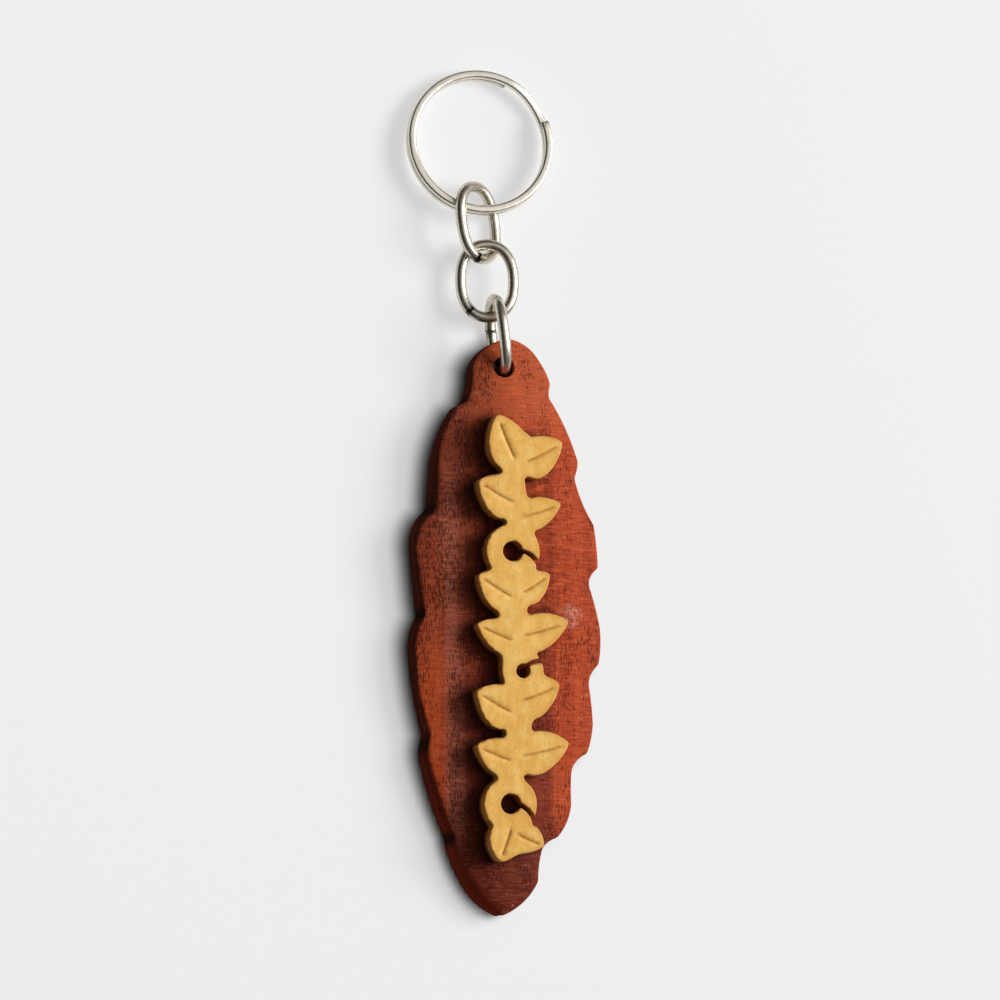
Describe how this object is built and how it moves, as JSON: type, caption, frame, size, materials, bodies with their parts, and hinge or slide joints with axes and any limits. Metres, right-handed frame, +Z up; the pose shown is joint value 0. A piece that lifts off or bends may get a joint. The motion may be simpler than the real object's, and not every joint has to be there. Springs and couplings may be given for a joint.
{
  "type": "keychain with wooden tag",
  "caption": "Leaf-shaped wooden key tag with a glued vine ornament, hung by a short chain of oval wire links from a flat split key ring.",
  "frame": {"origin": "middle of the whole object's box in plan, on the plane that it lies on", "axes": "+Y from the tag's tip to the split ring, +Z up out of the tag's decorated front, +X to the right"},
  "size_m": [0.033, 0.1442, 0.0119],
  "materials": {
    "red_hardwood": "semi-gloss varnish",
    "yellow_wood": "satin oil",
    "nickel_links": "polished nickel plate",
    "nickel_ring": "worn nickel plate"
  },
  "bodies": {
    "tag": {"tag_board": "red_hardwood", "vine_ornament": "yellow_wood"},
    "link_3": {"link_at_tag": "nickel_links"},
    "link_2": {"link_middle": "nickel_links"},
    "link_1": {"link_at_ring": "nickel_links"},
    "ring": {"split_ring": "nickel_ring"}
  },
  "joints": [
    {"name": "tag_link_swivel", "type": "hinge", "parent": "tag", "child": "link_3", "pos_m": [-0.0009, 0.02012, 0.005], "axis": [0, -0.0284, 0.9996], "range_deg": [-45, 45]},
    {"name": "middle_link_fold", "type": "hinge", "parent": "link_3", "child": "link_2", "pos_m": [-0.0027, 0.02913, 0.00376], "axis": [0.9874, 0, 0.1582], "range_deg": [-60, 75]},
    {"name": "ring_link_swivel", "type": "hinge", "parent": "link_2", "child": "link_1", "pos_m": [-0.00376, 0.03814, 0.00472], "axis": [-0.3509, -0.072, 0.9337], "range_deg": [-60, 60]},
    {"name": "ring_fold", "type": "hinge", "parent": "link_1", "child": "ring", "pos_m": [-0.0041, 0.04797, 0.0035], "axis": [0.985, -0.03, 0.17], "range_deg": [-80, 80]}
  ]
}
